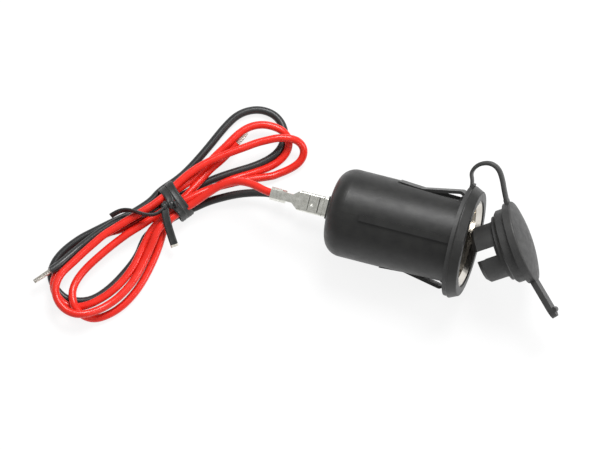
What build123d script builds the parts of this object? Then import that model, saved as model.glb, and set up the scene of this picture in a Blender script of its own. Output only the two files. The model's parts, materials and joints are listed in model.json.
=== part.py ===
import math
import os

from build123d import *

os.makedirs("parts", exist_ok=True)

# Contact sleeve: drawn cup with a flared lip, in millimetres
bore_r = 10.5
mouth_step = 1.7
lip_flare = 1.2
neck_step = 0.6
lip_set_back = 0.4
lip_depth = 2.0
mouth_depth = 4.6
throat_depth = 6.4
neck_taper = 0.8
well_depth = 4.2
rear_space = 3.9
sheet_t = 0.5
sleeve_hole_r = 3.1
fit_gap = 0.05

# Housing: barrel with a flange round its mouth
body_length = 45.4
barrel_wall = 3.5
rear_round = 5.5
rear_wall = 2.5
flange_overhang = 4.2
flange_t = 3.2
flange_taper = 1.5
rim_soften = 0.4

# Long ribs and snap tongues on the barrel
rib_width = 2.0
rib_height = 0.6
rib_end_gap = 11.2
rib_gap = 0.35
tongue_width = 6.0
tongue_t = 0.95
tongue_root = 25.5
tongue_bend = 18.5
tongue_dip = 0.5
tongue_reach = 1.8
tongue_hook_depth = 6.4
tongue_hook_drop = 0.8
pocket_depth = 1.9
pocket_front = 6.2
pocket_root_gap = 0.8
pocket_front_gap = 2.4

# Centre contact stack at the bottom of the sleeve
insulator_t = 1.8
insulator_gap = 0.2
washer_r = 4.8
washer_t = 1.0
contact_t = 0.5
contact_flat_r = 3.2
contact_r = 5.8
contact_rise = 0.9
rivet_r = 1.5
rivet_head_r = 2.8
rivet_head_t = 1.3
rivet_head_mid = (2.0, 0.9)
rivet_tail_r = 2.4
rivet_tail_t = 0.9
weld_rivet_r = 0.9
weld_rivet_head_r = 1.5
weld_rivet_head_t = 0.5

# Blades and the push-on receptacles over them
blade_width = 4.8
blade_t = 0.8
blade_bend = 0.9
blade_length = 7.0
positive_offset = 4.2
negative_offset = -5.4
terminal_base_overhang = 3.4
negative_base_gap = 0.3
slot_gap = 0.2
collar_height = 0.9
collar_wall = 1.0
receptacle_stand_off = 1.5
receptacle_length = 8.0
receptacle_width = 6.3
receptacle_t = 0.4
receptacle_curl = 0.85
receptacle_gap = 0.03
receptacle_fold = 0.56
bar_r = 0.55
bar_set_backs = (1.7, 5.0)
bar_length = 4.8
dimple_r = 0.9
dimple_depth = 0.22
dimple_set_back = 3.3
shoulder_length = 2.0
neck_width = 2.6
wire_crimp_t = 0.4
wire_crimp_length = 3.4
crimp_spacing = 0.6
jacket_crimp_t = 0.4
jacket_crimp_side = 0.75
jacket_crimp_length = 3.2
crimp_flat = 0.15
seam_width = 0.35
seam_depth = 0.3

# Wires
wire_r = 1.25
core_r = 0.95
crimp_gap = 0.05
lead_straight = 1.6
bend_share = 0.45

# Rubber ring, strap and cap
ring_inset = 0.6
ring_t = 1.2
ring_gap = 0.05
strap_width = 3.4
strap_t = 1.2
strap_angle = 20.8
hinge_ahead = 0.8
hinge_clear = 6.8
open_angle = 32.5
cap_rim_inset = 0.3
cap_rim_t = 2.6
cap_dome = 1.9
cap_stand_off = 0.4
cap_rim_soften = 0.6
seal_clear = 0.4
seal_depth = 3.0
seal_bevel = 0.5
step_clear = 1.8
step_depth = 4.2
plug_clear = 1.5
plug_depth = 11.9
plug_wall = 1.9
plug_bevel = 1.2
plug_slot = 3.0
plug_slot_depth = 6.6
cap_floor = 1.2
lug_reach = 1.0
lug_depth = 2.8
lug_extra = 1.2
tab_length = 12.8
tab_width = 6.4
tab_t = 1.8
tab_tilt = 12.0
tab_bump_r = 0.9
tab_bump_length = 4.2
tab_bump_set_back = 2.2
strap_end_gap = 0.02
strap_root = 1.4
strap_shoulder = 2.2

# The strap's bends, outwards and forwards of the hinge line
strap_heel = (-2.6, -6.0)
strap_crown = (1.3, -2.7)
strap_brow = (0.9, 1.1)

# Angles round the socket's axis, from the far side upwards, in degrees
tongue_angle = 22.5
rib_angle = 107.2
stack_angle = 104.5

# Sizes that follow the bore and the barrel's length
mouth_r = bore_r + mouth_step
lip_r = mouth_r + lip_flare
neck_r = bore_r - neck_step
barrel_r = bore_r + barrel_wall
flange_r = barrel_r + flange_overhang
ring_r = flange_r - ring_inset
cap_r = lip_r - cap_rim_inset
seal_r = mouth_r - seal_clear
step_r = mouth_r - step_clear
plug_r = bore_r - plug_clear
negative_base_end = negative_base_gap - neck_r
hinge_out = flange_r + hinge_clear
sleeve_depth = body_length - rear_wall - rear_space
bore_depth = sleeve_depth - well_depth
neck_depth = bore_depth + neck_taper

# Resting place: the flange's rounded rim and the barrel's rounded rear edge both touch the floor
seat_x = 16.46
seat_y = -3.81
rim_lean = math.atan2(flange_taper, flange_t)
rim_back = flange_t - rim_soften
rim_r = flange_r - rim_soften * (1 + math.sin(rim_lean)) / math.cos(rim_lean)
rise = rim_r - (barrel_r - rear_round)
run = body_length - rear_round - rim_back
pitch = math.acos((rear_round - rim_soften) / math.hypot(rise, run)) - math.atan2(run, rise)
mouth_height = rim_r * math.cos(pitch) + rim_back * math.sin(pitch) + rim_soften

# Hank of wires, its tie and the routes of the two leads, as they lie on the floor
hank_height = 7.5
hank_soften = 1.5
hank_tie = (-77.3, -14.5)
hank_waist_r = 6.2
hank_loops = (((-97.7, -48.2), 11.3), ((-54.7, 13.8), 11.6))
loop_wall = 5.6
loop_tip_r = 1.6
loop_tip_share = 0.42
tie_width = 4.6
tie_t = 0.7
tie_gap = 0.15
tie_corner = 2.2
tail_width = 2.4
tail_droop = 4.9
tail_droop_run = 3.8
knot_r = 1.6
knot_place = (-79.0, -14.2)
flat_tail_end = (-73.7, -26.5)
thin_tail_bend = (-92.6, -21.2)
thin_tail_end = (-96.6, -25.5)
strand_r = 0.8
red_strands = ((-64.4, 9.4, 7.9), (-62.2, 14.4, 7.9))
black_strands = ((-105.9, -42.9, 3.0), (-111.8, -49.5, 3.0))

red_route = [
    (-54.5, -2.9, 13.6),
    (-59.7, -2.4, 11.8),
    (-64.6, -4.2, 9.5),
    (-69.0, -7.7, 7.2),
    (-72.7, -12.1, 5.6),
]
black_route = [
    (-53.9, -2.9, 4.4),
    (-59.0, -4.6, 3.7),
    (-63.7, -6.9, 3.1),
    (-68.0, -9.8, 2.8),
    (-71.5, -13.6, 2.7),
]

axis_dir = Vector(math.cos(pitch), 0, math.sin(pitch))
upright_dir = Vector(-math.sin(pitch), 0, math.cos(pitch))
side_dir = Vector(0, 1, 0)
mouth = Vector(seat_x, seat_y, mouth_height)
socket_axis = Axis(mouth, axis_dir)


def radial(angle):
    """Direction away from the socket's axis."""
    turn = math.radians(angle)
    return side_dir * math.cos(turn) + upright_dir * math.sin(turn)


def half_section(angle):
    """Plane through the socket's axis: x is the radius, y runs out of the mouth."""
    return Plane(origin=mouth, x_dir=radial(angle), z_dir=radial(angle).cross(axis_dir))


def cross_section(depth, angle):
    """Plane across the socket's axis, behind the mouth: z runs out of the mouth."""
    return Plane(origin=mouth - axis_dir * depth, x_dir=radial(angle), z_dir=axis_dir)


def tangent_plane(radius, angle):
    """Plane square to a radius: y runs out of the mouth, z away from the axis."""
    outwards = radial(angle)
    return Plane(origin=mouth + outwards * radius, x_dir=axis_dir.cross(outwards), z_dir=outwards)


def mouth_profile(grow):
    """Radius and place of the sleeve's wall from its lip to the end of the bore."""
    return [
        (lip_r + grow, -lip_set_back),
        (mouth_r + grow, -lip_depth),
        (mouth_r + grow, -mouth_depth),
        (bore_r + grow, -throat_depth),
        (bore_r + grow, -bore_depth),
        (neck_r + grow, -neck_depth),
    ]


def bend_radii(points):
    """Largest tangent bend at each inner point of a route."""
    places = [Vector(*p) for p in points]
    radii = []
    for before, here, after in zip(places, places[1:], places[2:]):
        shorter = min((here - before).length, (after - here).length)
        turn = math.radians((here - before).get_angle(after - here))
        radii.append(bend_share * shorter / math.tan(turn / 2))
    return radii


# Places along the axis that several pieces share, measured back from the mouth
sleeve_back = sleeve_depth + sheet_t
washer_back = sleeve_back + washer_t
base_back = washer_back + blade_t
insulator_front = sleeve_depth - insulator_t
contact_front = insulator_front - contact_t
collar_back = body_length + collar_height
blade_back = collar_back + blade_length
receptacle_front = collar_back + receptacle_stand_off
shoulder_front = receptacle_front + receptacle_length
wire_crimp_front = shoulder_front + shoulder_length
wire_crimp_back = wire_crimp_front + wire_crimp_length
jacket_crimp_front = wire_crimp_back + crimp_spacing
jacket_crimp_back = jacket_crimp_front + jacket_crimp_length
ring_back = flange_t + ring_t

# Housing
with BuildPart() as housing:
    with BuildSketch(half_section(stack_angle)):
        with BuildLine():
            Polyline(
                (0, 0),
                (flange_r - flange_taper, 0),
                (flange_r, -flange_t),
                (barrel_r, -flange_t),
                (barrel_r, -body_length),
                (0, -body_length),
                close=True,
            )
        make_face()
    revolve(axis=socket_axis)
    fillet(housing.edges().filter_by(GeomType.CIRCLE).sort_by(socket_axis)[0], rear_round)
    flange_rims = housing.edges().filter_by(GeomType.CIRCLE).sort_by(socket_axis)
    fillet(flange_rims.sort_by(lambda edge: edge.radius)[-2:], rim_soften)
    # Hollow for the sleeve and the contact stack behind it
    with BuildSketch(half_section(stack_angle)):
        with BuildLine():
            wall_gap = sheet_t + fit_gap
            Polyline(
                (0, flange_t),
                (lip_r + wall_gap, flange_t),
                *mouth_profile(wall_gap),
                (neck_r + wall_gap, rear_wall - body_length),
                (0, rear_wall - body_length),
                close=True,
            )
        make_face()
    revolve(axis=socket_axis, mode=Mode.SUBTRACT)
    # Long ribs between the tongues
    for angle in (rib_angle, rib_angle + 180):
        with BuildSketch(half_section(angle)):
            with BuildLine():
                Polyline(
                    (barrel_r - rib_height, rib_end_gap - body_length),
                    (barrel_r + rib_height, rib_end_gap - body_length),
                    (barrel_r + rib_height, -ring_back - rib_gap),
                    (barrel_r - rib_height, -ring_back - rib_gap),
                    close=True,
                )
            make_face()
        extrude(amount=rib_width / 2, both=True)
    # Snap tongues: each springs out of a flat pocket in the barrel and hooks back behind the ring
    for angle in (tongue_angle, tongue_angle + 180):
        with BuildSketch(tangent_plane(barrel_r - pocket_depth, angle)):
            with BuildLine():
                Polyline(
                    (-tongue_width / 2 - pocket_root_gap, -tongue_root),
                    (tongue_width / 2 + pocket_root_gap, -tongue_root),
                    (tongue_width / 2 + pocket_front_gap, -pocket_front),
                    (-tongue_width / 2 - pocket_front_gap, -pocket_front),
                    close=True,
                )
            make_face()
        extrude(amount=2 * pocket_depth, mode=Mode.SUBTRACT)
        tongue_middle = barrel_r - tongue_t / 2
        with BuildSketch(half_section(angle)):
            with BuildLine():
                FilletPolyline(
                    (tongue_middle, -tongue_root - tongue_t),
                    (tongue_middle - tongue_dip, -tongue_bend),
                    (tongue_middle + tongue_reach, -tongue_hook_depth),
                    (tongue_middle + tongue_reach - tongue_hook_drop, -ring_back - tongue_t / 2),
                    radius=tongue_t,
                )
            trace(line_width=tongue_t)
        extrude(amount=tongue_width / 2, both=True)
    # Collars round the two terminal slots
    for offset in (positive_offset, negative_offset):
        slot_height = blade_t + 2 * slot_gap
        slot_width = blade_width + 2 * slot_gap
        with BuildSketch(cross_section(body_length - rear_wall / 2, stack_angle)):
            with Locations((offset, 0)):
                Rectangle(slot_height + 2 * collar_wall, slot_width + 2 * collar_wall)
        extrude(amount=-(rear_wall / 2 + collar_height))
        with BuildSketch(cross_section(collar_back, stack_angle)):
            with Locations((offset, 0)):
                Rectangle(slot_height, slot_width)
        extrude(amount=collar_height + rear_wall, mode=Mode.SUBTRACT)

# Contact sleeve
with BuildPart() as contact_sleeve:
    with BuildSketch(half_section(stack_angle)):
        with BuildLine():
            Polyline(
                *mouth_profile(0),
                (neck_r, -sleeve_depth),
                (sleeve_hole_r, -sleeve_depth),
                (sleeve_hole_r, -sleeve_back),
                (neck_r + sheet_t, -sleeve_back),
                *reversed(mouth_profile(sheet_t)),
                close=True,
            )
        make_face()
    revolve(axis=socket_axis)
    with BuildSketch(cross_section(sleeve_back, stack_angle)):
        with Locations(((negative_offset + negative_base_end) / 2, 0)):
            Circle(weld_rivet_r + fit_gap)
    extrude(amount=sheet_t, mode=Mode.SUBTRACT)

# Inner insulator with its boss through the sleeve's bottom
with BuildPart() as inner_insulator:
    with BuildSketch(half_section(stack_angle)):
        with BuildLine():
            Polyline(
                (rivet_r + fit_gap, -insulator_front),
                (neck_r - insulator_gap, -insulator_front),
                (neck_r - insulator_gap, -sleeve_depth),
                (sleeve_hole_r - fit_gap, -sleeve_depth),
                (sleeve_hole_r - fit_gap, -sleeve_back),
                (rivet_r + fit_gap, -sleeve_back),
                close=True,
            )
        make_face()
    revolve(axis=socket_axis)
    with BuildSketch(cross_section(sleeve_depth, stack_angle)):
        with Locations(((negative_offset + negative_base_end) / 2, 0)):
            Circle(weld_rivet_head_r + insulator_gap)
    extrude(amount=weld_rivet_head_t + insulator_gap, mode=Mode.SUBTRACT)

# Outer insulating washer
with BuildPart() as outer_insulator:
    with BuildSketch(cross_section(washer_back, stack_angle)):
        Circle(washer_r)
        Circle(rivet_r + fit_gap, mode=Mode.SUBTRACT)
    extrude(amount=washer_t)

# Dished spring contact
with BuildPart() as centre_contact:
    with BuildSketch(half_section(stack_angle)):
        with BuildLine():
            Polyline(
                (rivet_r + fit_gap, -insulator_front),
                (contact_flat_r, -insulator_front),
                (contact_r, -insulator_front + contact_rise),
                (contact_r, -contact_front + contact_rise),
                (contact_flat_r, -contact_front),
                (rivet_r + fit_gap, -contact_front),
                close=True,
            )
        make_face()
    revolve(axis=socket_axis)

# Rivet through the contact stack
with BuildPart() as centre_rivet:
    with BuildSketch(half_section(stack_angle)):
        with BuildLine():
            ThreePointArc(
                (0, rivet_head_t - contact_front),
                (rivet_head_mid[0], rivet_head_mid[1] - contact_front),
                (rivet_head_r, -contact_front),
            )
            Polyline(
                (rivet_head_r, -contact_front),
                (rivet_r, -contact_front),
                (rivet_r, -base_back),
                (rivet_tail_r, -base_back),
                (rivet_r, -base_back - rivet_tail_t),
                (0, -base_back - rivet_tail_t),
                (0, rivet_head_t - contact_front),
            )
        make_face()
    revolve(axis=socket_axis)

# Positive blade: a strip bent from the rivet out through the rear wall
with BuildPart() as centre_terminal:
    with BuildSketch(half_section(stack_angle)):
        with BuildLine():
            FilletPolyline(
                (-terminal_base_overhang, blade_t / 2 - base_back),
                (positive_offset, blade_t / 2 - base_back),
                (positive_offset, -blade_back),
                radius=blade_bend,
            )
        trace(line_width=blade_t)
    extrude(amount=blade_width / 2, both=True)
    with BuildSketch(cross_section(base_back, stack_angle)):
        Circle(rivet_r + fit_gap)
    extrude(amount=blade_t, mode=Mode.SUBTRACT)

# Negative blade: a strip bent from the sleeve's bottom out through the rear wall
with BuildPart() as sleeve_terminal:
    with BuildSketch(half_section(stack_angle)):
        with BuildLine():
            FilletPolyline(
                (negative_base_end, -sleeve_back - blade_t / 2),
                (negative_offset, -sleeve_back - blade_t / 2),
                (negative_offset, -blade_back),
                radius=blade_bend,
            )
        trace(line_width=blade_t)
    extrude(amount=blade_width / 2, both=True)
    with BuildSketch(cross_section(sleeve_back + blade_t, stack_angle)):
        with Locations(((negative_offset + negative_base_end) / 2, 0)):
            Circle(weld_rivet_r + fit_gap)
    extrude(amount=blade_t, mode=Mode.SUBTRACT)

# Small rivet that fixes the negative blade to the sleeve
with BuildPart() as sleeve_rivet:
    for place, radius, length in (
        (sleeve_depth, weld_rivet_head_r, weld_rivet_head_t),
        (sleeve_back + blade_t, weld_rivet_r, sheet_t + blade_t),
        (sleeve_back + blade_t + weld_rivet_head_t, weld_rivet_head_r, weld_rivet_head_t),
    ):
        with BuildSketch(cross_section(place, stack_angle)):
            with Locations(((negative_offset + negative_base_end) / 2, 0)):
                Circle(radius)
        extrude(amount=length)


def wire_place(offset):
    """Distance of the wire's axis from the socket's axis, under the receptacle's flat back."""
    back = offset + blade_t / 2 + receptacle_gap + receptacle_t / 2
    return back - wire_r - crimp_gap - jacket_crimp_t / 2


def crimp_point(offset, depth):
    """Point on the axis of a crimped wire."""
    place = mouth - axis_dir * depth + radial(stack_angle) * wire_place(offset)
    return (place.X, place.Y, place.Z)


def lead_points(offset, route):
    """Route of a lead from its crimp into the hank."""
    straight = [
        crimp_point(offset, jacket_crimp_front),
        crimp_point(offset, jacket_crimp_back + lead_straight),
    ]
    return straight + route


# Receptacles folded from strip: flat back, two curled edges, shoulder and two crimps
back = positive_offset + blade_t / 2 + receptacle_gap + receptacle_t / 2
front = positive_offset - blade_t / 2 - receptacle_gap - receptacle_t / 2
half = (receptacle_width - receptacle_t) / 2
skin = back + receptacle_t / 2
middle = -receptacle_front - dimple_set_back
wire = wire_place(positive_offset)
with BuildPart() as red_receptacle:
    with BuildSketch(cross_section(shoulder_front, stack_angle)):
        with BuildLine():
            FilletPolyline(
                (front, receptacle_curl),
                (front, half),
                (back, half),
                (back, -half),
                (front, -half),
                (front, -receptacle_curl),
                radius=receptacle_fold,
            )
        trace(line_width=receptacle_t)
    extrude(amount=receptacle_length)
    # Two pressed bars across the flat back, with a dimple between them
    for set_back in bar_set_backs:
        with BuildSketch(half_section(stack_angle)):
            with Locations((back, -receptacle_front - set_back)):
                Circle(bar_r)
            with Locations((back - bar_r, -receptacle_front - set_back)):
                Rectangle(2 * bar_r - receptacle_t, 4 * bar_r, mode=Mode.SUBTRACT)
        extrude(amount=bar_length / 2, both=True)
    with BuildSketch(half_section(stack_angle)):
        with BuildLine():
            Polyline(
                (skin - dimple_depth, middle),
                (skin, middle - dimple_r),
                (skin + dimple_depth, middle - dimple_r),
                (skin + dimple_depth, middle),
                close=True,
            )
        make_face()
    revolve(axis=Axis(mouth + axis_dir * middle, radial(stack_angle)), mode=Mode.SUBTRACT)
    # Flat shoulder, drawn in to a neck that carries both crimps
    with BuildSketch(tangent_plane(back - receptacle_t / 2, stack_angle)):
        with BuildLine():
            Polyline(
                (half, -shoulder_front),
                (-half, -shoulder_front),
                (-neck_width / 2, -wire_crimp_front),
                (-neck_width / 2, -jacket_crimp_back),
                (neck_width / 2, -jacket_crimp_back),
                (neck_width / 2, -wire_crimp_front),
                close=True,
            )
        make_face()
    extrude(amount=receptacle_t)
    # Crimps round the strands and round the insulation, each with a seam on the side of its wings
    for place, length, inner, wall, side in (
        (wire_crimp_back, wire_crimp_length, core_r, wire_crimp_t, wire_crimp_t),
        (jacket_crimp_back, jacket_crimp_length, wire_r, jacket_crimp_t, jacket_crimp_side),
    ):
        outer = inner + crimp_gap + wall
        width = inner + crimp_gap + side
        with BuildSketch(cross_section(place, stack_angle)):
            with Locations((wire, 0)):
                RectangleRounded(2 * outer, 2 * width, outer - crimp_flat)
            with Locations((wire - outer, 0)):
                Rectangle(2 * seam_depth, seam_width, mode=Mode.SUBTRACT)
        extrude(amount=length)
        with BuildSketch(cross_section(place, stack_angle)):
            with Locations((wire, 0)):
                Circle(inner + crimp_gap)
        extrude(amount=length, mode=Mode.SUBTRACT)

# The same terminal on the black wire
with BuildPart() as black_receptacle:
    with Locations(radial(stack_angle) * (negative_offset - positive_offset)):
        add(red_receptacle.part)

# Leads: insulated wire into the hank, bare strands in the crimp
red_points = lead_points(positive_offset, red_route)
red_bends = bend_radii(red_points)
with BuildPart() as red_lead:
    with BuildLine() as red_path:
        FilletPolyline(*red_points, radius=red_bends)
    with BuildSketch(Plane(origin=red_points[0], z_dir=axis_dir * -1)):
        Circle(wire_r)
    sweep(path=red_path.wires()[0])
    with BuildSketch(Plane(origin=red_points[0], z_dir=axis_dir)):
        Circle(core_r)
    extrude(amount=jacket_crimp_front - wire_crimp_front)

black_points = lead_points(negative_offset, black_route)
black_bends = bend_radii(black_points)
with BuildPart() as black_lead:
    with BuildLine() as black_path:
        FilletPolyline(*black_points, radius=black_bends)
    with BuildSketch(Plane(origin=black_points[0], z_dir=axis_dir * -1)):
        Circle(wire_r)
    sweep(path=black_path.wires()[0])
    with BuildSketch(Plane(origin=black_points[0], z_dir=axis_dir)):
        Circle(core_r)
    extrude(amount=jacket_crimp_front - wire_crimp_front)

# Hank: two flat loops, tied at the waist
loop_line = Vector(*hank_loops[1][0]) - Vector(*hank_loops[0][0])
waist_dir = loop_line.normalized()
waist_plane = Plane(
    origin=(hank_tie[0], hank_tie[1], hank_height / 2),
    x_dir=(-waist_dir.Y, waist_dir.X, 0),
    z_dir=waist_dir,
)
waist_width = 2 * (hank_waist_r - tie_t - tie_gap)
waist_height = hank_height - 2 * (tie_t + tie_gap)
with BuildPart() as wire_hank:
    for loop_end, loop_r in hank_loops:
        with BuildSketch():
            with Locations(loop_end):
                Circle(loop_r)
            with Locations(hank_tie):
                Circle(hank_waist_r)
            make_hull()
        extrude(amount=hank_height)
    for loop_end, loop_r in hank_loops:
        tip = Vector(*hank_tie) + (Vector(*loop_end) - Vector(*hank_tie)) * loop_tip_share
        with BuildSketch():
            with Locations(loop_end):
                Circle(loop_r - loop_wall)
            with Locations((tip.X, tip.Y)):
                Circle(loop_tip_r)
            make_hull()
        extrude(amount=hank_height, mode=Mode.SUBTRACT)
    outer_edges = wire_hank.faces().sort_by(Axis.Z)[-1].outer_wire().edges()
    fillet(outer_edges, hank_soften)
    with BuildSketch(waist_plane):
        Rectangle(4 * hank_waist_r, 4 * hank_waist_r)
        RectangleRounded(waist_width, waist_height, tie_corner, mode=Mode.SUBTRACT)
    extrude(amount=tie_width / 2 + tie_gap, both=True, mode=Mode.SUBTRACT)

# Twist tie: band round the waist, a twisted knot and two tails
knot_base = hank_height - tie_t
tail_run = Vector(*flat_tail_end) - Vector(*knot_place)
tail_plane = Plane(
    origin=(knot_place[0], knot_place[1], hank_height),
    x_dir=tail_run,
    z_dir=tail_run.cross(Vector(0, 0, 1)),
)
with BuildPart() as twist_tie:
    with BuildSketch(waist_plane):
        RectangleRounded(
            waist_width + 2 * (tie_gap + tie_t),
            waist_height + 2 * (tie_gap + tie_t),
            tie_corner + tie_gap + tie_t,
        )
        RectangleRounded(
            waist_width + 2 * tie_gap,
            waist_height + 2 * tie_gap,
            tie_corner + tie_gap,
            mode=Mode.SUBTRACT,
        )
    extrude(amount=tie_width / 2, both=True)
    with BuildSketch(Plane.XY.offset(knot_base)):
        with Locations(knot_place):
            Circle(knot_r)
    extrude(amount=tie_t + tail_width)
    with BuildSketch(tail_plane):
        with BuildLine():
            FilletPolyline(
                (0, tie_t),
                (tail_run.length - tail_droop_run, tie_t),
                (tail_run.length, -tail_droop),
                radius=tail_width,
            )
        trace(line_width=tie_t)
    extrude(amount=tail_width / 2, both=True)
    with BuildSketch(Plane.XY.offset(hank_height + tie_gap)):
        with BuildLine():
            FilletPolyline(knot_place, thin_tail_bend, thin_tail_end, radius=tail_width)
        trace(line_width=tie_t)
    extrude(amount=tail_width)

# Stripped ends
with BuildPart() as red_wire_strands:
    red_strip = Vector(*red_strands[1]) - Vector(*red_strands[0])
    with BuildSketch(Plane(origin=red_strands[0], z_dir=red_strip)):
        Circle(strand_r)
    extrude(amount=red_strip.length)

with BuildPart() as black_wire_strands:
    black_strip = Vector(*black_strands[1]) - Vector(*black_strands[0])
    with BuildSketch(Plane(origin=black_strands[0], z_dir=black_strip)):
        Circle(strand_r)
    extrude(amount=black_strip.length)

# Rubber ring behind the flange, with a lug for the strap
with BuildPart() as strap_ring:
    with BuildSketch(cross_section(ring_back, strap_angle)):
        Circle(ring_r)
        with Locations((ring_r / 2 + lug_reach / 2, 0)):
            Rectangle(ring_r + lug_reach, strap_width + lug_extra)
        Circle(barrel_r + ring_gap, mode=Mode.SUBTRACT)
    extrude(amount=ring_t)

# The cap's own frame: the closed cap, swung open about the strap's hinge line
strap_dir = radial(strap_angle)
swing = math.radians(open_angle)
hinge = mouth + axis_dir * hinge_ahead + strap_dir * hinge_out
cap_dir = axis_dir * math.cos(swing) + strap_dir * math.sin(swing)
cap_side = strap_dir * math.cos(swing) - axis_dir * math.sin(swing)
cap_mouth = hinge - cap_dir * hinge_ahead - cap_side * hinge_out
cap_axis = Axis(cap_mouth, cap_dir)
cap_section = Plane(origin=cap_mouth, x_dir=cap_side, z_dir=cap_side.cross(cap_dir))
cap_rim_top = cap_stand_off + cap_rim_t
cap_middle = cap_stand_off + cap_rim_t / 2
tab_lean = math.radians(tab_tilt)
tab_dir = cap_dir * math.sin(tab_lean) - cap_side * math.cos(tab_lean)
tab_face = cap_dir * math.cos(tab_lean) + cap_side * math.sin(tab_lean)
tab_root = cap_mouth + cap_dir * cap_middle - cap_side * seal_r
tab_reach = cap_r - seal_r + tab_length

# Cap: domed disc, seal ring, slotted plug and pull tab
with BuildPart() as rubber_cap:
    with BuildSketch(cap_section):
        with BuildLine():
            dome_r = (cap_r**2 + cap_dome**2) / (2 * cap_dome)
            ThreePointArc(
                (0, cap_rim_top + cap_dome),
                (cap_r / 2, cap_rim_top + cap_dome - dome_r + math.sqrt(dome_r**2 - cap_r**2 / 4)),
                (cap_r, cap_rim_top),
            )
            Polyline(
                (cap_r, cap_rim_top),
                (cap_r, cap_stand_off),
                (seal_r, cap_stand_off),
                (seal_r, seal_bevel - seal_depth),
                (seal_r - seal_bevel, -seal_depth),
                (step_r, -seal_depth),
                (step_r, -step_depth),
                (plug_r, -step_depth),
                (plug_r, plug_bevel - plug_depth),
                (plug_r - plug_bevel, -plug_depth),
                (plug_r - plug_wall, -plug_depth),
                (plug_r - plug_wall, -cap_floor),
                (0, -cap_floor),
                (0, cap_rim_top + cap_dome),
            )
        make_face()
    revolve(axis=cap_axis)
    rim = rubber_cap.edges().filter_by(GeomType.CIRCLE).sort_by(lambda edge: edge.radius)
    fillet(rim[-2:], cap_rim_soften)
    with BuildSketch(Plane(origin=cap_mouth - cap_dir * plug_depth, x_dir=cap_side, z_dir=cap_dir)):
        Rectangle(2 * seal_r, plug_slot)
        Rectangle(plug_slot, 2 * seal_r)
    extrude(amount=plug_slot_depth, mode=Mode.SUBTRACT)
    # Lug that carries the strap
    with BuildSketch(cap_section):
        with Locations((cap_r + lug_reach - lug_depth / 2, cap_middle)):
            Rectangle(lug_depth, strap_t)
    extrude(amount=(strap_width + lug_extra) / 2, both=True)
    # Pull tab with a grip bump, bent outwards from the rim
    with BuildSketch(Plane(origin=tab_root, x_dir=tab_dir, z_dir=tab_face)):
        with BuildLine():
            Polyline((0, -tab_width / 2), (tab_reach - tab_width / 2, -tab_width / 2))
            ThreePointArc(
                (tab_reach - tab_width / 2, -tab_width / 2),
                (tab_reach, 0),
                (tab_reach - tab_width / 2, tab_width / 2),
            )
            Polyline(
                (tab_reach - tab_width / 2, tab_width / 2),
                (0, tab_width / 2),
                (0, -tab_width / 2),
            )
        make_face()
    extrude(amount=tab_t / 2, both=True)
    with BuildSketch(Plane(origin=tab_root, x_dir=tab_dir, z_dir=tab_dir.cross(tab_face))):
        with Locations((tab_reach - tab_bump_set_back, tab_t / 2)):
            Circle(tab_bump_r)
    extrude(amount=tab_bump_length / 2, both=True)

# Strap: arches from the ring's lug to the cap's lug
strap_foot = ring_r + lug_reach
strap_line = -flange_t - ring_t / 2
lug_face = cap_r + lug_reach + strap_end_gap
strap_end = (
    hinge_out + (cap_middle - hinge_ahead) * math.sin(swing) + (lug_face - hinge_out) * math.cos(swing),
    hinge_ahead + (cap_middle - hinge_ahead) * math.cos(swing) - (lug_face - hinge_out) * math.sin(swing),
)
strap_bends = [(hinge_out + out, hinge_ahead + ahead) for out, ahead in (strap_heel, strap_crown, strap_brow)]
strap_points = [
    (strap_foot, strap_line),
    (strap_foot + strap_root, strap_line),
    *strap_bends,
    (strap_end[0] + strap_shoulder * math.cos(swing), strap_end[1] - strap_shoulder * math.sin(swing)),
    strap_end,
]
with BuildPart() as cap_strap:
    with BuildSketch(half_section(strap_angle)):
        with BuildLine():
            FilletPolyline(*strap_points, radius=bend_radii(strap_points))
        trace(line_width=strap_t)
    extrude(amount=strap_width / 2, both=True)

housing.part.label = "housing"
contact_sleeve.part.label = "contact_sleeve"
inner_insulator.part.label = "inner_insulator"
outer_insulator.part.label = "outer_insulator"
centre_contact.part.label = "centre_contact"
centre_rivet.part.label = "centre_rivet"
centre_terminal.part.label = "centre_terminal"
sleeve_terminal.part.label = "sleeve_terminal"
sleeve_rivet.part.label = "sleeve_rivet"
red_receptacle.part.label = "red_receptacle"
black_receptacle.part.label = "black_receptacle"
red_lead.part.label = "red_lead"
black_lead.part.label = "black_lead"
wire_hank.part.label = "wire_hank"
twist_tie.part.label = "twist_tie"
red_wire_strands.part.label = "red_wire_strands"
black_wire_strands.part.label = "black_wire_strands"
strap_ring.part.label = "strap_ring"
cap_strap.part.label = "cap_strap"
rubber_cap.part.label = "rubber_cap"

export_step(housing.part, "parts/housing.step")
export_step(contact_sleeve.part, "parts/contact_sleeve.step")
export_step(inner_insulator.part, "parts/inner_insulator.step")
export_step(outer_insulator.part, "parts/outer_insulator.step")
export_step(centre_contact.part, "parts/centre_contact.step")
export_step(centre_rivet.part, "parts/centre_rivet.step")
export_step(centre_terminal.part, "parts/centre_terminal.step")
export_step(sleeve_terminal.part, "parts/sleeve_terminal.step")
export_step(sleeve_rivet.part, "parts/sleeve_rivet.step")
export_step(red_receptacle.part, "parts/red_receptacle.step")
export_step(black_receptacle.part, "parts/black_receptacle.step")
export_step(red_lead.part, "parts/red_lead.step")
export_step(black_lead.part, "parts/black_lead.step")
export_step(wire_hank.part, "parts/wire_hank.step")
export_step(twist_tie.part, "parts/twist_tie.step")
export_step(red_wire_strands.part, "parts/red_wire_strands.step")
export_step(black_wire_strands.part, "parts/black_wire_strands.step")
export_step(strap_ring.part, "parts/strap_ring.step")
export_step(cap_strap.part, "parts/cap_strap.step")
export_step(rubber_cap.part, "parts/rubber_cap.step")

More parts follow.
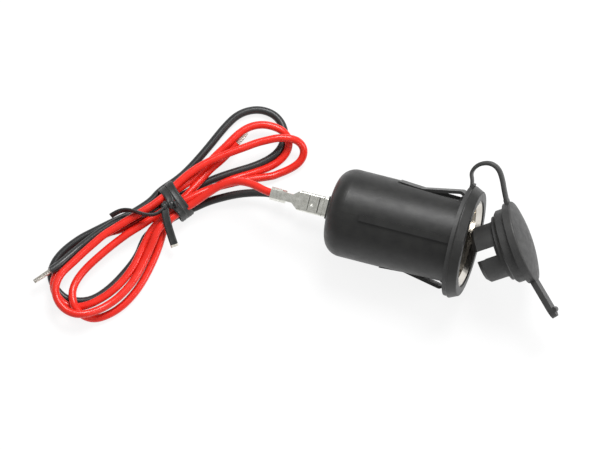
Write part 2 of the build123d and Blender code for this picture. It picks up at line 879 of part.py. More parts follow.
# Length, bends and volume of each lead against its section times its length
core_volume = math.pi * core_r**2 * (jacket_crimp_front - wire_crimp_front)
for name, path, volume, bends in (
    ("red lead", red_path, red_lead.part.volume, red_bends),
    ("black lead", black_path, black_lead.part.volume, black_bends),
):
    length = path.wires()[0].length
    share = (volume - core_volume) / (math.pi * wire_r**2 * length)
    print(name, "length", round(length, 2), "volume share", round(share, 4))
    print(name, "bend radii", [round(r, 1) for r in bends])
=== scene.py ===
import json
import math

import bmesh
import bpy
from mathutils import Matrix, Vector


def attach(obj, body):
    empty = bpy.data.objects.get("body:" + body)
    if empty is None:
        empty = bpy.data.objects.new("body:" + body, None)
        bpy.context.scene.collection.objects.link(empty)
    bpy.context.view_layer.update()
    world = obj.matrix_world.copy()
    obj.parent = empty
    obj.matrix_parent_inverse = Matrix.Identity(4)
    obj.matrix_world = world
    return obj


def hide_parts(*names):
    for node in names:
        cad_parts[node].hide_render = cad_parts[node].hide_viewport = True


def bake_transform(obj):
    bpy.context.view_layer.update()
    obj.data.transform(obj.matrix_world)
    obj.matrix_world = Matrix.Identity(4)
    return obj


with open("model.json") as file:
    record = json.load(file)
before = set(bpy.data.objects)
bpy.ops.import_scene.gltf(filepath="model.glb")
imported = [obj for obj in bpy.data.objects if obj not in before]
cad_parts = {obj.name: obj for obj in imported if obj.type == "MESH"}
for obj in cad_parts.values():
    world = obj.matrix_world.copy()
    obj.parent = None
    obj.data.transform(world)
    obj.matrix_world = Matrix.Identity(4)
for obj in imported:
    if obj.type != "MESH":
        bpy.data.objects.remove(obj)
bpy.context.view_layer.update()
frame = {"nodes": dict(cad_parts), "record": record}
scene = bpy.context.scene
nodes = frame["nodes"]

# The socket's own axes: the way out of its mouth, the far side and up, from the bore's mount
mouth_ahead = 0.0206
bore = next(mount for mount in frame["record"]["mounts"] if mount["name"] == "plug_bore")
axis_dir = Vector(bore["axis"]).normalized()
mouth = Vector(bore["pos_m"]) + axis_dir * mouth_ahead
side_dir = Vector((0.0, 1.0, 0.0))
upright_dir = axis_dir.cross(side_dir)
up_dir = Vector((0.0, 0.0, 1.0))

# The camera looks steeply down from the near side
picture_width = 600
picture_height = 450
camera_elevation = math.radians(75.0)
camera_yaw = math.radians(16.4)
camera_distance = 2.0
pixels_a_metre = 3200.0
mouth_pixel = (471.3, 244.2)
sensor_width = 36.0

# Wires
wire_d = 0.0025
strand_d = 0.00042
strand_count = 9
strand_ring = 0.00062
strand_turns = 0.55
strand_steps = 10
strand_unevenness = 0.05
strand_taper = 0.25

red_route = [
    (-0.0453, -0.0046, 0.0148), (-0.0501, -0.0046, 0.0143), (-0.0545, -0.0031, 0.0132),
    (-0.0596, -0.0028, 0.0116), (-0.0646, -0.0049, 0.0096), (-0.0683, -0.0087, 0.0080),
    (-0.0713, -0.0122, 0.0068), (-0.0743, -0.0154, 0.0060), (-0.0774, -0.0194, 0.0060),
    # Upper loop on the left
    (-0.0801, -0.0235, 0.0064), (-0.0804, -0.0274, 0.0054), (-0.0809, -0.0310, 0.0044),
    (-0.0816, -0.0361, 0.0039), (-0.0827, -0.0412, 0.0039), (-0.0842, -0.0450, 0.0039),
    (-0.0863, -0.0489, 0.0040), (-0.0889, -0.0522, 0.0043), (-0.0914, -0.0547, 0.0052),
    (-0.0938, -0.0565, 0.0062), (-0.0967, -0.0576, 0.0064), (-0.0999, -0.0573, 0.0062),
    (-0.1029, -0.0557, 0.0062), (-0.1050, -0.0529, 0.0062), (-0.1057, -0.0498, 0.0062),
    (-0.1052, -0.0466, 0.0062), (-0.1040, -0.0441, 0.0060), (-0.1026, -0.0417, 0.0059),
    (-0.1004, -0.0376, 0.0057), (-0.0983, -0.0341, 0.0056), (-0.0961, -0.0305, 0.0057),
    (-0.0936, -0.0277, 0.0060), (-0.0912, -0.0249, 0.0060), (-0.0887, -0.0222, 0.0062),
    (-0.0862, -0.0195, 0.0064), (-0.0838, -0.0168, 0.0064),
    # Upper loop on the right
    (-0.0808, -0.0125, 0.0064), (-0.0783, -0.0077, 0.0066), (-0.0756, -0.0035, 0.0069),
    (-0.0729, -0.0002, 0.0069), (-0.0701, 0.0025, 0.0069), (-0.0672, 0.0049, 0.0069),
    (-0.0643, 0.0072, 0.0069), (-0.0613, 0.0094, 0.0069), (-0.0584, 0.0117, 0.0069),
    (-0.0553, 0.0136, 0.0069), (-0.0522, 0.0153, 0.0069), (-0.0489, 0.0163, 0.0066),
    (-0.0458, 0.0165, 0.0056), (-0.0436, 0.0151, 0.0042), (-0.0431, 0.0128, 0.0028),
    (-0.0441, 0.0102, 0.0018), (-0.0466, 0.0076, 0.0013), (-0.0496, 0.0052, 0.0013),
    (-0.0509, 0.0041, 0.0015), (-0.0561, 0.0014, 0.0028), (-0.0618, -0.0022, 0.0046),
    (-0.0679, -0.0063, 0.0060), (-0.0730, -0.0110, 0.0066), (-0.0770, -0.0147, 0.0064),
    # Lower loop on the left
    (-0.0822, -0.0238, 0.0040), (-0.0827, -0.0276, 0.0038), (-0.0833, -0.0311, 0.0037),
    (-0.0839, -0.0361, 0.0037), (-0.0853, -0.0407, 0.0037), (-0.0870, -0.0444, 0.0037),
    (-0.0891, -0.0477, 0.0036), (-0.0915, -0.0504, 0.0034), (-0.0939, -0.0526, 0.0032),
    (-0.0966, -0.0541, 0.0028), (-0.0990, -0.0547, 0.0026), (-0.1015, -0.0546, 0.0028),
    (-0.1038, -0.0535, 0.0033), (-0.1058, -0.0516, 0.0036), (-0.1068, -0.0493, 0.0037),
    (-0.1069, -0.0466, 0.0037), (-0.1061, -0.0437, 0.0034), (-0.1048, -0.0405, 0.0026),
    (-0.1031, -0.0370, 0.0020), (-0.1007, -0.0343, 0.0016), (-0.0980, -0.0311, 0.0015),
    (-0.0953, -0.0281, 0.0015), (-0.0922, -0.0264, 0.0015), (-0.0893, -0.0240, 0.0015),
    (-0.0866, -0.0210, 0.0015), (-0.0843, -0.0176, 0.0017), (-0.0820, -0.0132, 0.0029),
    # Lower loop on the right
    (-0.0774, -0.0085, 0.0044), (-0.0751, -0.0054, 0.0039), (-0.0732, -0.0018, 0.0037),
    (-0.0713, 0.0017, 0.0038), (-0.0694, 0.0054, 0.0041), (-0.0674, 0.0088, 0.0042),
    (-0.0657, 0.0123, 0.0042), (-0.0636, 0.0155, 0.0042), (-0.0609, 0.0178, 0.0042),
    (-0.0578, 0.0190, 0.0042), (-0.0547, 0.0192, 0.0042), (-0.0518, 0.0188, 0.0040),
    (-0.0495, 0.0174, 0.0034), (-0.0485, 0.0152, 0.0026), (-0.0486, 0.0127, 0.0018),
    (-0.0499, 0.0098, 0.0013), (-0.0525, 0.0068, 0.0013), (-0.0559, 0.0042, 0.0013),
    (-0.0593, 0.0019, 0.0014), (-0.0627, -0.0005, 0.0018), (-0.0659, -0.0036, 0.0026),
    (-0.0687, -0.0068, 0.0033), (-0.0713, -0.0102, 0.0039), (-0.0758, -0.0154, 0.0039),
    # Inner loop on the left
    (-0.0785, -0.0213, 0.0038), (-0.0785, -0.0254, 0.0028), (-0.0786, -0.0293, 0.0019),
    (-0.0792, -0.0347, 0.0014), (-0.0802, -0.0401, 0.0013), (-0.0815, -0.0445, 0.0013),
    (-0.0835, -0.0488, 0.0013), (-0.0858, -0.0520, 0.0013), (-0.0882, -0.0543, 0.0013),
    (-0.0907, -0.0560, 0.0014), (-0.0933, -0.0567, 0.0022), (-0.0960, -0.0563, 0.0038),
    (-0.0982, -0.0548, 0.0050), (-0.0995, -0.0525, 0.0049), (-0.1003, -0.0499, 0.0044),
    (-0.1001, -0.0468, 0.0040), (-0.0991, -0.0436, 0.0039), (-0.0975, -0.0403, 0.0039),
    (-0.0953, -0.0366, 0.0039), (-0.0931, -0.0331, 0.0039), (-0.0908, -0.0298, 0.0039),
    (-0.0884, -0.0267, 0.0042), (-0.0859, -0.0240, 0.0044), (-0.0835, -0.0210, 0.0044),
    # Cut end, back through the tie
    (-0.0809, -0.0178, 0.0042), (-0.0780, -0.0147, 0.0040), (-0.0753, -0.0112, 0.0039),
    (-0.0735, -0.0073, 0.0036), (-0.0717, -0.0030, 0.0030), (-0.0699, 0.0009, 0.0029),
    (-0.0677, 0.0041, 0.0030), (-0.0658, 0.0078, 0.0030), (-0.0643, 0.0108, 0.0034),
]
red_tip = (-0.0623, 0.0149, 0.0042)

black_route = [
    (-0.0444, -0.0022, 0.0056), (-0.0491, -0.0022, 0.0051), (-0.0539, -0.0031, 0.0042),
    (-0.0590, -0.0047, 0.0032), (-0.0637, -0.0070, 0.0022), (-0.0680, -0.0096, 0.0016),
    (-0.0719, -0.0130, 0.0013), (-0.0754, -0.0157, 0.0013),
    # Loop on the left, under the red ones
    (-0.0832, -0.0247, 0.0013), (-0.0839, -0.0290, 0.0013), (-0.0840, -0.0317, 0.0013),
    (-0.0849, -0.0354, 0.0013), (-0.0866, -0.0396, 0.0013), (-0.0887, -0.0440, 0.0013),
    (-0.0913, -0.0479, 0.0013), (-0.0938, -0.0504, 0.0013), (-0.0964, -0.0518, 0.0013),
    (-0.0991, -0.0524, 0.0013), (-0.1018, -0.0524, 0.0013), (-0.1042, -0.0514, 0.0013),
    (-0.1064, -0.0497, 0.0013), (-0.1079, -0.0478, 0.0013), (-0.1087, -0.0458, 0.0013),
    (-0.1088, -0.0433, 0.0013), (-0.1082, -0.0405, 0.0013), (-0.1069, -0.0377, 0.0013),
    (-0.1050, -0.0348, 0.0013), (-0.1026, -0.0318, 0.0013), (-0.1002, -0.0295, 0.0013),
    (-0.0976, -0.0270, 0.0013), (-0.0951, -0.0246, 0.0013), (-0.0925, -0.0223, 0.0013),
    (-0.0899, -0.0200, 0.0013), (-0.0874, -0.0172, 0.0013), (-0.0850, -0.0141, 0.0013),
    # Loop on the right
    (-0.0835, -0.0104, 0.0013), (-0.0792, -0.0053, 0.0013), (-0.0765, -0.0006, 0.0013),
    (-0.0732, 0.0068, 0.0013), (-0.0697, 0.0160, 0.0013), (-0.0667, 0.0211, 0.0013),
    (-0.0617, 0.0241, 0.0013), (-0.0565, 0.0241, 0.0013), (-0.0529, 0.0219, 0.0013),
    (-0.0508, 0.0185, 0.0013), (-0.0506, 0.0141, 0.0013), (-0.0526, 0.0100, 0.0013),
    (-0.0570, 0.0059, 0.0013), (-0.0625, 0.0023, 0.0013), (-0.0672, -0.0010, 0.0013),
    (-0.0713, -0.0045, 0.0013), (-0.0754, -0.0090, 0.0013), (-0.0793, -0.0130, 0.0014),
    # Cut end, over the red loops on the left
    (-0.0815, -0.0158, 0.0031), (-0.0838, -0.0181, 0.0040), (-0.0871, -0.0200, 0.0042),
    (-0.0902, -0.0219, 0.0040), (-0.0931, -0.0242, 0.0039), (-0.0956, -0.0269, 0.0039),
    (-0.0980, -0.0299, 0.0040), (-0.0998, -0.0324, 0.0041), (-0.1020, -0.0357, 0.0042),
    (-0.1038, -0.0388, 0.0047), (-0.1053, -0.0414, 0.0052), (-0.1068, -0.0440, 0.0058),
    (-0.1086, -0.0462, 0.0060),
]
black_tip = (-0.1126, -0.0508, 0.0048)

# Strap between the ring and the cap: its places ahead of the flange's face and out from the axis
strap_angle = math.radians(20.8)
strap_line = [
    (-0.0041, 0.0180), (-0.0043, 0.0196), (-0.0053, 0.0216), (-0.0044, 0.0240), (-0.0024, 0.0256),
    (0.0004, 0.0262), (0.0030, 0.0250), (0.0048, 0.0222), (0.0063, 0.0186), (0.0076, 0.0160),
]
strap_width = 0.0034
strap_root_t = 0.0009
strap_top_t = 0.0014

# Twist tie: a ribbed flat strip, placed across the wires, above the floor and along the wires
tie_centre = Vector((-0.0773, -0.0145, 0.0))
tie_along = Vector((0.570, 0.822, 0.0)).normalized()
tie_across = Vector((0.822, -0.570, 0.0)).normalized()
tie_width = 0.0025
tie_t = 0.0005
tie_rib = 0.00016
tie_rib_count = 3
tie_tip_length = 0.0008
tie_turns = [
    (-0.0002, 0.0089, -0.0010), (0.0020, 0.0087, -0.0005), (0.0042, 0.0075, -0.0002),
    (0.0050, 0.0051, -0.0001), (0.0051, 0.0024, 0.0000), (0.0040, 0.0006, 0.0001),
    (0.0005, 0.0005, 0.0008), (-0.0046, 0.0006, 0.0018), (-0.0069, 0.0017, 0.0024),
    (-0.0072, 0.0044, 0.0027), (-0.0062, 0.0069, 0.0027), (-0.0036, 0.0084, 0.0020),
    (-0.0002, 0.0087, 0.0016), (0.0026, 0.0081, 0.0016), (0.0044, 0.0063, 0.0018),
    (0.0052, 0.0039, 0.0023), (0.0049, 0.0015, 0.0022), (0.0032, 0.0006, 0.0019),
    (-0.0010, 0.0005, 0.0012), (-0.0052, 0.0006, 0.0005), (-0.0070, 0.0022, 0.0002),
    (-0.0070, 0.0047, 0.0001), (-0.0059, 0.0070, 0.0000), (-0.0034, 0.0082, -0.0001),
    (-0.0014, 0.0087, -0.0006), (-0.0004, 0.0089, -0.0012),
]
tie_knot = [(-0.0763, -0.0150, 0.0090), (-0.0782, -0.0158, 0.0095), (-0.0808, -0.0170, 0.0093)]
tie_knot_width = 0.0030
tie_knot_t = 0.0020
tie_knot_beads = 3
tie_knot_waist = 0.7
tie_knot_turns = 1.25
flat_tail = [
    (-0.0797, -0.0164, 0.0093), (-0.0795, -0.0180, 0.0093), (-0.0783, -0.0203, 0.0085),
    (-0.0766, -0.0230, 0.0069), (-0.0751, -0.0251, 0.0054), (-0.0739, -0.0267, 0.0046),
]
flat_tail_across = (0.86, 0.51, 0.0)
thin_tail = [
    (-0.0797, -0.0168, 0.0092), (-0.0806, -0.0190, 0.0092), (-0.0826, -0.0206, 0.0092),
    (-0.0852, -0.0212, 0.0092), (-0.0883, -0.0209, 0.0088), (-0.0912, -0.0209, 0.0080),
    (-0.0938, -0.0221, 0.0071), (-0.0955, -0.0240, 0.0066),
]
thin_tail_flat = (-0.55, 0.80, 0.20)
thin_tail_turn = 0.3
thin_tail_turn_from = 0.6

# Floor and light
floor_half = 3.0
floor_drop = 0.00005
floor_white = 0.85
world_strength = 0.45
key_place = (0.02, 0.75, 1.15)
light_target = (-0.02, 0.0, 0.0)
key_size = 0.7
key_power = 20.0
side_place = (1.10, 0.10, 0.75)
side_size = 0.6
side_power = 6.0


def radial(angle):
    """Direction away from the socket's axis, from the far side upwards."""
    return side_dir * math.cos(angle) + upright_dir * math.sin(angle)


def ease(share, start, end):
    """Rises smoothly from 0 at start to 1 at end."""
    part = min(max((share - start) / (end - start), 0.0), 1.0)
    return part * part * (3.0 - 2.0 * part)


# Camera
def make_camera():
    right = Vector((math.cos(camera_yaw), math.sin(camera_yaw), 0.0))
    far = Vector((-math.sin(camera_yaw), math.cos(camera_yaw), 0.0))
    up = far * math.sin(camera_elevation) + up_dir * math.cos(camera_elevation)
    back = right.cross(up)
    across = (mouth_pixel[0] - picture_width / 2) / pixels_a_metre
    above = (picture_height / 2 - mouth_pixel[1]) / pixels_a_metre
    data = bpy.data.cameras.new("camera")
    data.sensor_width = sensor_width
    data.lens = pixels_a_metre * camera_distance / picture_width * sensor_width
    data.clip_start = 0.05
    data.clip_end = 20.0
    camera = bpy.data.objects.new("camera", data)
    scene.collection.objects.link(camera)
    turn = Matrix((right, up, back)).transposed().to_4x4()
    place = mouth + back * camera_distance - right * across - up * above
    camera.matrix_world = Matrix.Translation(place) @ turn
    scene.camera = camera


# Materials
class Finish:
    """One node material, built up from small parts in object coordinates."""

    def __init__(self, name, colour, roughness, metallic=0.0, specular=0.5):
        self.material = bpy.data.materials.new(name)
        self.material.use_nodes = True
        self.tree = self.material.node_tree
        self.shader = self.tree.nodes["Principled BSDF"]
        self.shader.inputs["Base Color"].default_value = (*colour, 1.0)
        self.shader.inputs["Roughness"].default_value = roughness
        self.shader.inputs["Metallic"].default_value = metallic
        self.shader.inputs["Specular IOR Level"].default_value = specular
        self.places = self.tree.nodes.new("ShaderNodeTexCoord").outputs["Object"]

    def noise(self, scale, detail=4.0, rough=0.55, stretch=None):
        places = self.places
        if stretch:
            mapping = self.tree.nodes.new("ShaderNodeMapping")
            mapping.inputs["Scale"].default_value = stretch
            self.tree.links.new(places, mapping.inputs["Vector"])
            places = mapping.outputs["Vector"]
        node = self.tree.nodes.new("ShaderNodeTexNoise")
        node.inputs["Scale"].default_value = scale
        node.inputs["Detail"].default_value = detail
        node.inputs["Roughness"].default_value = rough
        self.tree.links.new(places, node.inputs["Vector"])
        return node.outputs["Fac"]

    def cells(self, scale):
        node = self.tree.nodes.new("ShaderNodeTexVoronoi")
        node.inputs["Scale"].default_value = scale
        self.tree.links.new(self.places, node.inputs["Vector"])
        return node.outputs["Distance"]

    def between(self, factor, low, high, start=0.3, end=0.7):
        node = self.tree.nodes.new("ShaderNodeMapRange")
        node.inputs["From Min"].default_value = start
        node.inputs["From Max"].default_value = end
        node.inputs["To Min"].default_value = low
        node.inputs["To Max"].default_value = high
        self.tree.links.new(factor, node.inputs["Value"])
        return node.outputs["Result"]

    def colours(self, factor, low, high, start=0.3, end=0.7):
        node = self.tree.nodes.new("ShaderNodeValToRGB")
        node.color_ramp.elements[0].position = start
        node.color_ramp.elements[0].color = (*low, 1.0)
        node.color_ramp.elements[1].position = end
        node.color_ramp.elements[1].color = (*high, 1.0)
        self.tree.links.new(factor, node.inputs["Fac"])
        self.tree.links.new(node.outputs["Color"], self.shader.inputs["Base Color"])

    def rough(self, factor, low, high, start=0.3, end=0.7):
        self.tree.links.new(self.between(factor, low, high, start, end), self.shader.inputs["Roughness"])

    def bump(self, height, depth, strength=1.0, after=None):
        node = self.tree.nodes.new("ShaderNodeBump")
        node.inputs["Strength"].default_value = strength
        node.inputs["Distance"].default_value = depth
        self.tree.links.new(height, node.inputs["Height"])
        if after:
            self.tree.links.new(after, node.inputs["Normal"])
        self.tree.links.new(node.outputs["Normal"], self.shader.inputs["Normal"])
        return node.outputs["Normal"]


def black_plastic():
    finish = Finish("black_plastic", (0.014, 0.014, 0.014), 0.44, specular=0.42)
    finish.colours(finish.noise(260, 5), (0.011, 0.011, 0.011), (0.019, 0.019, 0.018))
    finish.rough(finish.noise(420, 6), 0.34, 0.46)
    coarse = finish.bump(finish.noise(2600, 3), 0.000014)
    finish.bump(finish.cells(5200), 0.00001, 0.7, after=coarse)
    return finish.material


def cap_rubber():
    finish = Finish("cap_rubber", (0.035, 0.035, 0.035), 0.5)
    finish.colours(finish.noise(300, 5), (0.024, 0.024, 0.024), (0.035, 0.035, 0.034))
    finish.rough(finish.noise(500, 6), 0.42, 0.58)
    finish.bump(finish.noise(3200, 3), 0.00003)
    return finish.material


def nickel_plate():
    finish = Finish("nickel_plate", (0.72, 0.68, 0.62), 0.14, metallic=1.0)
    finish.colours(finish.noise(180, 5), (0.64, 0.60, 0.54), (0.78, 0.75, 0.70))
    finish.rough(finish.noise(900, 4), 0.08, 0.20)
    finish.bump(finish.noise(1500, 3), 0.000006)
    return finish.material


def tinned_brass():
    finish = Finish("tinned_brass", (0.70, 0.70, 0.64), 0.3, metallic=1.0)
    finish.colours(finish.noise(700, 5), (0.66, 0.66, 0.60), (0.88, 0.88, 0.82))
    finish.rough(finish.noise(1300, 5), 0.20, 0.40)
    finish.bump(finish.noise(2400, 4), 0.00002)
    return finish.material


def contact_brass():
    finish = Finish("contact_brass", (0.70, 0.50, 0.24), 0.3, metallic=1.0)
    finish.colours(finish.noise(600, 5), (0.58, 0.40, 0.18), (0.78, 0.58, 0.30))
    finish.rough(finish.noise(1000, 4), 0.22, 0.42)
    finish.bump(finish.noise(1800, 3), 0.00002)
    return finish.material


def insulator_board():
    finish = Finish("insulator_board", (0.16, 0.09, 0.05), 0.6)
    finish.colours(finish.noise(900, 6, stretch=(1, 1, 6)), (0.11, 0.06, 0.035), (0.20, 0.12, 0.07))
    finish.rough(finish.noise(800, 4), 0.5, 0.7)
    finish.bump(finish.noise(3000, 4), 0.00003)
    return finish.material


def insulation(name, low, high, roughness):
    finish = Finish(name, low, roughness, specular=0.36)
    finish.colours(finish.noise(220, 4), low, high)
    finish.rough(finish.noise(500, 4), roughness - 0.06, roughness + 0.08)
    coarse = finish.bump(finish.noise(420, 2), 0.00002, 0.6)
    finish.bump(finish.noise(3000, 3), 0.00001, after=coarse)
    return finish.material


def tie_plastic():
    finish = Finish("tie_plastic", (0.028, 0.03, 0.03), 0.42)
    finish.colours(finish.noise(500, 5), (0.014, 0.015, 0.015), (0.026, 0.027, 0.026))
    finish.rough(finish.noise(900, 4), 0.34, 0.52)
    finish.bump(finish.noise(2600, 3), 0.00003)
    return finish.material


def tie_cut():
    finish = Finish("tie_cut", (0.55, 0.53, 0.47), 0.5)
    finish.colours(finish.noise(1800, 4), (0.42, 0.40, 0.35), (0.66, 0.64, 0.58))
    finish.rough(finish.noise(1500, 3), 0.4, 0.6)
    finish.bump(finish.noise(4000, 3), 0.00003)
    return finish.material


def tinned_copper():
    finish = Finish("tinned_copper", (0.70, 0.68, 0.62), 0.36, metallic=1.0)
    finish.colours(finish.noise(1500, 4), (0.52, 0.48, 0.42), (0.78, 0.77, 0.72))
    finish.rough(finish.noise(1800, 4), 0.28, 0.5)
    finish.bump(finish.noise(4000, 3), 0.00002)
    return finish.material


materials = {
    "black_plastic": black_plastic(),
    "cap_rubber": cap_rubber(),
    "nickel_plate": nickel_plate(),
    "tinned_brass": tinned_brass(),
    "contact_brass": contact_brass(),
    "insulator_board": insulator_board(),
    "red_insulation": insulation("red_insulation", (0.66, 0.018, 0.010), (0.76, 0.028, 0.016), 0.24),
    "black_insulation": insulation("black_insulation", (0.020, 0.021, 0.022), (0.032, 0.033, 0.033), 0.34),
    "tie_plastic": tie_plastic(),
    "tie_cut": tie_cut(),
    "tinned_copper": tinned_copper(),
}

node_slots = {
    "housing": "black_plastic",
    "contact_sleeve": "nickel_plate",
    "inner_insulator": "insulator_board",
    "outer_insulator": "insulator_board",
    "centre_contact": "contact_brass",
    "centre_rivet": "contact_brass",
    "centre_terminal": "tinned_brass",
    "sleeve_terminal": "tinned_brass",
    "sleeve_rivet": "tinned_brass",
    "red_receptacle": "tinned_brass",
    "black_receptacle": "tinned_brass",
    "strap_ring": "cap_rubber",
    "rubber_cap": "cap_rubber",
}


def dress_nodes():
    """Gives each solid that shows its own finish."""
    for name, slot in node_slots.items():
        nodes[name].data.materials.clear()
        nodes[name].data.materials.append(materials[slot])


# Wires and their stripped ends
def spline_curve(name, points, radius):
    """Round wire along one smooth open spline."""
    data = bpy.data.curves.new(name, "CURVE")
    data.dimensions = "3D"
    spline = data.splines.new("NURBS")
    spline.points.add(len(points) - 1)
    for point, place in zip(spline.points, points):
        point.co = (*place, 1.0)
    spline.order_u = 3
    spline.use_endpoint_u = True
    spline.resolution_u = 8
    data.bevel_depth = radius
    data.bevel_resolution = 5
    data.use_fill_caps = True
    piece = bpy.data.objects.new(name, data)
    scene.collection.objects.link(piece)
    return piece


def smooth_line(points):
    """Points along the same smooth spline, without any thickness."""
    guide = spline_curve("guide", points, 0.0)
    bpy.context.view_layer.update()
    line = bpy.data.meshes.new_from_object(guide.evaluated_get(bpy.context.evaluated_depsgraph_get()))
    places = [vertex.co.copy() for vertex in line.vertices]
    bpy.data.meshes.remove(line)
    bpy.data.curves.remove(guide.data)
    return places


def strand_bundle(name, start, end):
    """Fine wires twisted together, from inside the insulation to the tip."""
    start, end = Vector(start), Vector(end)
    along = (end - start).normalized()
    aside = along.orthogonal().normalized()
    other = along.cross(aside)
    data = bpy.data.curves.new(name, "CURVE")
    data.dimensions = "3D"
    for index in range(strand_count):
        ring = 0.0 if index == 0 else strand_ring
        lag = math.tau * index / (strand_count - 1)
        reach = 1.0 - strand_unevenness * (index % 3)
        spline = data.splines.new("POLY")
        spline.points.add(strand_steps)
        for step in range(strand_steps + 1):
            share = reach * step / strand_steps
            turn = lag + math.tau * strand_turns * share
            out = ring * (1.0 - strand_taper * share)
            offset = (aside * math.cos(turn) + other * math.sin(turn)) * out
            spline.points[step].co = (*(start.lerp(end, share) + offset), 1.0)
    data.bevel_depth = strand_d / 2
    data.bevel_resolution = 2
    data.use_fill_caps = True
    piece = bpy.data.objects.new(name, data)
    scene.collection.objects.link(piece)
    piece.data.materials.append(materials["tinned_copper"])
    return piece


def make_wire(name, route, slot, stands_for):
    line = smooth_line(route)
    piece = spline_curve(name, route, wire_d / 2)
    piece.data.materials.append(materials[slot])
    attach(piece, "socket")
    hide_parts(*stands_for)
    return piece


def make_bundle(name, route, tip, stands_for):
    piece = strand_bundle(name, route[-2], tip)
    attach(piece, "socket")
    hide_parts(stands_for)
    return piece


# Strips: the cap's strap and the twist tie
def rounded_section(width, thickness, steps=20, squareness=0.45):
    """Flat section with round edges."""
    places = []
    for step in range(steps):
        turn = math.tau * step / steps
        across = math.copysign(abs(math.cos(turn)) ** squareness, math.cos(turn))
        out = math.copysign(abs(math.sin(turn)) ** squareness, math.sin(turn))
        places.append((across * width / 2, out * thickness / 2))
    return places


def ribbed_section(width, thickness, steps=40):
    """Flat section with round edges and low ribs along both faces."""
    places = []
    for across, out in rounded_section(width, thickness, steps):
        wave = 0.5 + 0.5 * math.cos(math.tau * tie_rib_count * across / width)
        edge = 1.0 - (2 * across / width) ** 8
        places.append((across, out + math.copysign(tie_rib * wave * edge, out)))
    return places


def sweep(shape, line, section_at, across_at, last_material=0):
    """Carries a closed section along a line, with its width turned the way across_at says."""
    rings = []
    for index, place in enumerate(line):
        share = index / (len(line) - 1)
        ahead = (line[min(index + 1, len(line) - 1)] - line[max(index - 1, 0)]).normalized()
        side = Vector(across_at(share))
        side = (side - ahead * side.dot(ahead)).normalized()
        out = ahead.cross(side)
        rings.append([shape.verts.new(place + side * u + out * v) for u, v in section_at(share)])
    count = len(rings[0])
    for index, (ring, other) in enumerate(zip(rings, rings[1:])):
        for corner in range(count):
            beside = (corner + 1) % count
            face = shape.faces.new((ring[corner], ring[beside], other[beside], other[corner]))
            face.material_index = last_material if index == len(rings) - 2 else 0
    shape.faces.new(rings[0])
    shape.faces.new(rings[-1]).material_index = last_material


def mesh_piece(name, shape, *finishes):
    bmesh.ops.recalc_face_normals(shape, faces=shape.faces)
    mesh = bpy.data.meshes.new(name)
    shape.to_mesh(mesh)
    shape.free()
    mesh.shade_smooth()
    mesh.set_sharp_from_angle(angle=math.radians(50))
    for finish in finishes:
        mesh.materials.append(materials[finish])
    piece = bpy.data.objects.new(name, mesh)
    scene.collection.objects.link(piece)
    return piece


def make_strap():
    """Rubber band that arches out from the ring to the cap."""
    out = radial(strap_angle)
    places = [mouth + axis_dir * ahead + out * away for ahead, away in strap_line]
    shape = bmesh.new()

    def section(share):
        thickness = strap_root_t + (strap_top_t - strap_root_t) * ease(share, 0.1, 0.5)
        return rounded_section(strap_width, thickness)

    sweep(shape, smooth_line(places), section, lambda share: axis_dir.cross(out))
    strap = mesh_piece("rubber_strap", shape, "cap_rubber")
    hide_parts("cap_strap")
    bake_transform(strap)


def tie_place(across, height, along):
    return tie_centre + tie_across * across + up_dir * height + tie_along * along


def make_tie():
    """Ribbed strip wound twice round the wires, its ends twisted together and left long."""
    shape = bmesh.new()
    strip = ribbed_section(tie_width, tie_t)
    turns = smooth_line([tie_place(*place) for place in tie_turns])
    sweep(shape, turns, lambda share: strip, lambda share: tie_along)

    knot = smooth_line(tie_knot)
    knot_dir = (knot[-1] - knot[0]).normalized()
    knot_side = knot_dir.cross(up_dir).normalized()

    def knot_section(share):
        bead = abs(math.sin(math.pi * tie_knot_beads * share))
        swell = tie_knot_waist + (1.0 - tie_knot_waist) * bead
        return rounded_section(tie_knot_width * swell, tie_knot_t * swell, squareness=0.7)

    def knot_across(share):
        turn = math.tau * tie_knot_turns * share
        return knot_side * math.cos(turn) + knot_dir.cross(knot_side) * math.sin(turn)

    sweep(shape, knot, knot_section, knot_across)

    tail = smooth_line(flat_tail)
    tail.append(tail[-1] + (tail[-1] - tail[-2]).normalized() * tie_tip_length)
    sweep(shape, tail, lambda share: strip, lambda share: flat_tail_across, last_material=1)

    def thin_across(share):
        turn = thin_tail_turn * ease(share, thin_tail_turn_from, 1.0)
        return up_dir.lerp(Vector(thin_tail_flat), turn)

    sweep(shape, smooth_line(thin_tail), lambda share: strip, thin_across)
    tie = mesh_piece("tie_strip", shape, "tie_plastic", "tie_cut")
    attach(tie, "socket")
    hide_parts("twist_tie")
    return tie


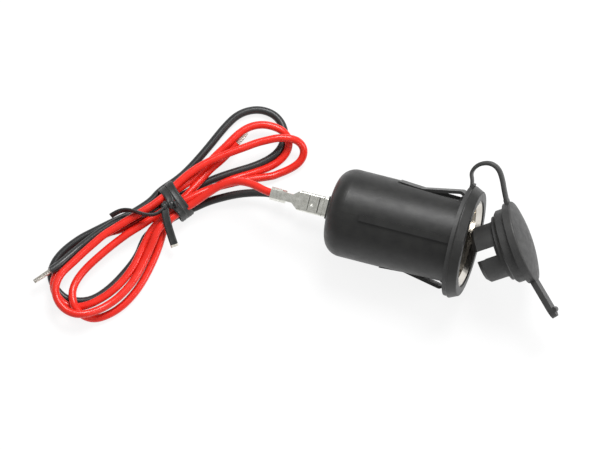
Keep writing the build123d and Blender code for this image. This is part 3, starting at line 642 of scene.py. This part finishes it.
# Floor and light
def make_floor():
    mesh = bpy.data.meshes.new("floor")
    shape = bmesh.new()
    bmesh.ops.create_grid(shape, x_segments=1, y_segments=1, size=floor_half)
    shape.to_mesh(mesh)
    shape.free()
    floor = bpy.data.objects.new("floor", mesh)
    floor.location.z = -floor_drop
    scene.collection.objects.link(floor)
    material = bpy.data.materials.new("floor")
    material.use_nodes = True
    tree = material.node_tree
    shader = tree.nodes["Principled BSDF"]
    shader.inputs["Base Color"].default_value = (0.98, 0.98, 0.985, 1.0)
    shader.inputs["Roughness"].default_value = 0.9
    shader.inputs["Specular IOR Level"].default_value = 0.1
    white = tree.nodes.new("ShaderNodeEmission")
    white.inputs["Color"].default_value = (1.0, 1.0, 1.0, 1.0)
    white.inputs["Strength"].default_value = 1.0
    rays = tree.nodes.new("ShaderNodeLightPath")
    seen = rays.outputs["Is Camera Ray"]
    for ray in ("Is Glossy Ray", "Is Transmission Ray"):
        either = tree.nodes.new("ShaderNodeMath")
        either.operation = "MAXIMUM"
        tree.links.new(seen, either.inputs[0])
        tree.links.new(rays.outputs[ray], either.inputs[1])
        seen = either.outputs["Value"]
    share = tree.nodes.new("ShaderNodeMath")
    share.operation = "MULTIPLY"
    share.inputs[1].default_value = floor_white
    tree.links.new(seen, share.inputs[0])
    mix = tree.nodes.new("ShaderNodeMixShader")
    tree.links.new(share.outputs["Value"], mix.inputs["Fac"])
    tree.links.new(shader.outputs["BSDF"], mix.inputs[1])
    tree.links.new(white.outputs["Emission"], mix.inputs[2])
    tree.links.new(mix.outputs["Shader"], tree.nodes["Material Output"].inputs["Surface"])
    floor.data.materials.append(material)


def area_light(name, place, target, size, power):
    data = bpy.data.lights.new(name, "AREA")
    data.shape = "DISK"
    data.size = size
    data.energy = power
    light = bpy.data.objects.new(name, data)
    light.location = place
    light.rotation_euler = (Vector(target) - Vector(place)).to_track_quat("-Z", "Y").to_euler()
    scene.collection.objects.link(light)


def make_light():
    world = bpy.data.worlds.new("studio")
    scene.world = world
    world.use_nodes = True
    background = world.node_tree.nodes["Background"]
    background.inputs["Color"].default_value = (1.0, 1.0, 1.0, 1.0)
    background.inputs["Strength"].default_value = world_strength
    area_light("key", key_place, light_target, key_size, key_power)
    area_light("side", side_place, light_target, side_size, side_power)


make_camera()
dress_nodes()
make_strap()
tie_strip = make_tie()
red_bundle = make_bundle("red_strand_bundle", red_route, red_tip, "red_wire_strands")
black_bundle = make_bundle("black_strand_bundle", black_route, black_tip, "black_wire_strands")
make_wire("red_wire", red_route, "red_insulation", ("red_lead", "wire_hank"))
make_wire("black_wire", black_route, "black_insulation", ("black_lead",))
make_floor()
make_light()

scene.view_settings.view_transform = "Standard"

bpy.context.view_layer.update()
